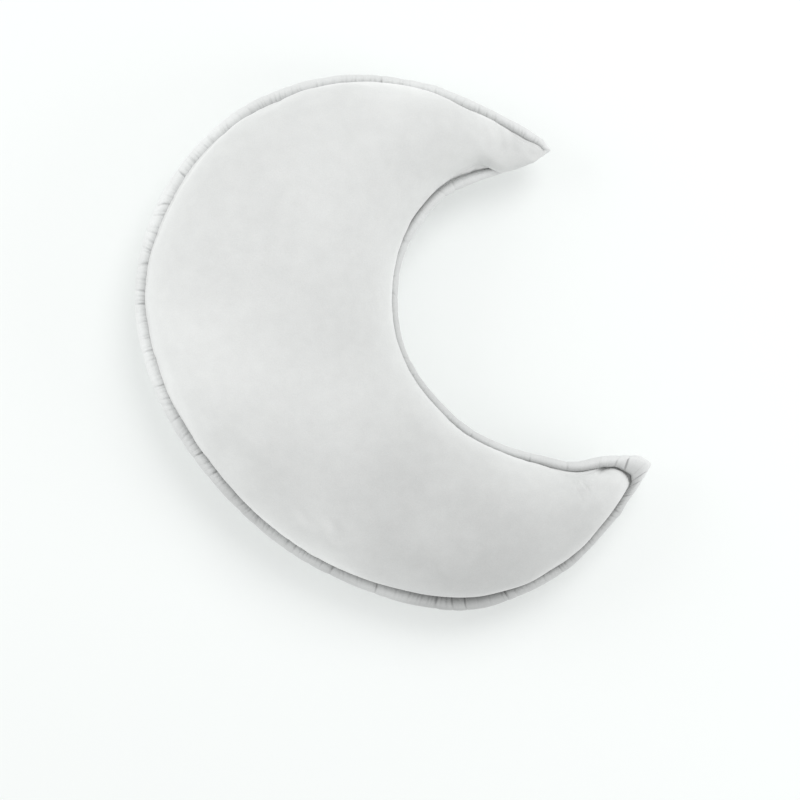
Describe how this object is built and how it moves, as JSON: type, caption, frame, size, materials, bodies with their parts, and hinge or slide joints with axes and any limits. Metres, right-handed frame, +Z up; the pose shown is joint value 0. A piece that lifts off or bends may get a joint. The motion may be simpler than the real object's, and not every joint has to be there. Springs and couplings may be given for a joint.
{
  "type": "crescent-shaped velvet throw pillow",
  "caption": "Crescent-shaped velvet throw pillow with gathered velvet piping round its edge and an open bay between its horns; lies flat on its back.",
  "frame": {"origin": "on the surface that the pillow lies on, below the middle of its outline", "axes": "+Z up, away from that surface; +Y along the length, towards the horn that curls in more; +X the way the bay opens"},
  "size_m": [0.3642, 0.4498, 0.1085],
  "materials": {
    "velvet": "soft silver-grey velvet with a pale sheen at the rims",
    "piping_velvet": "the same velvet, gathered into small creases"
  },
  "bodies": {
    "root": {"cushion": "velvet", "piping": "piping_velvet"}
  },
  "joints": []
}
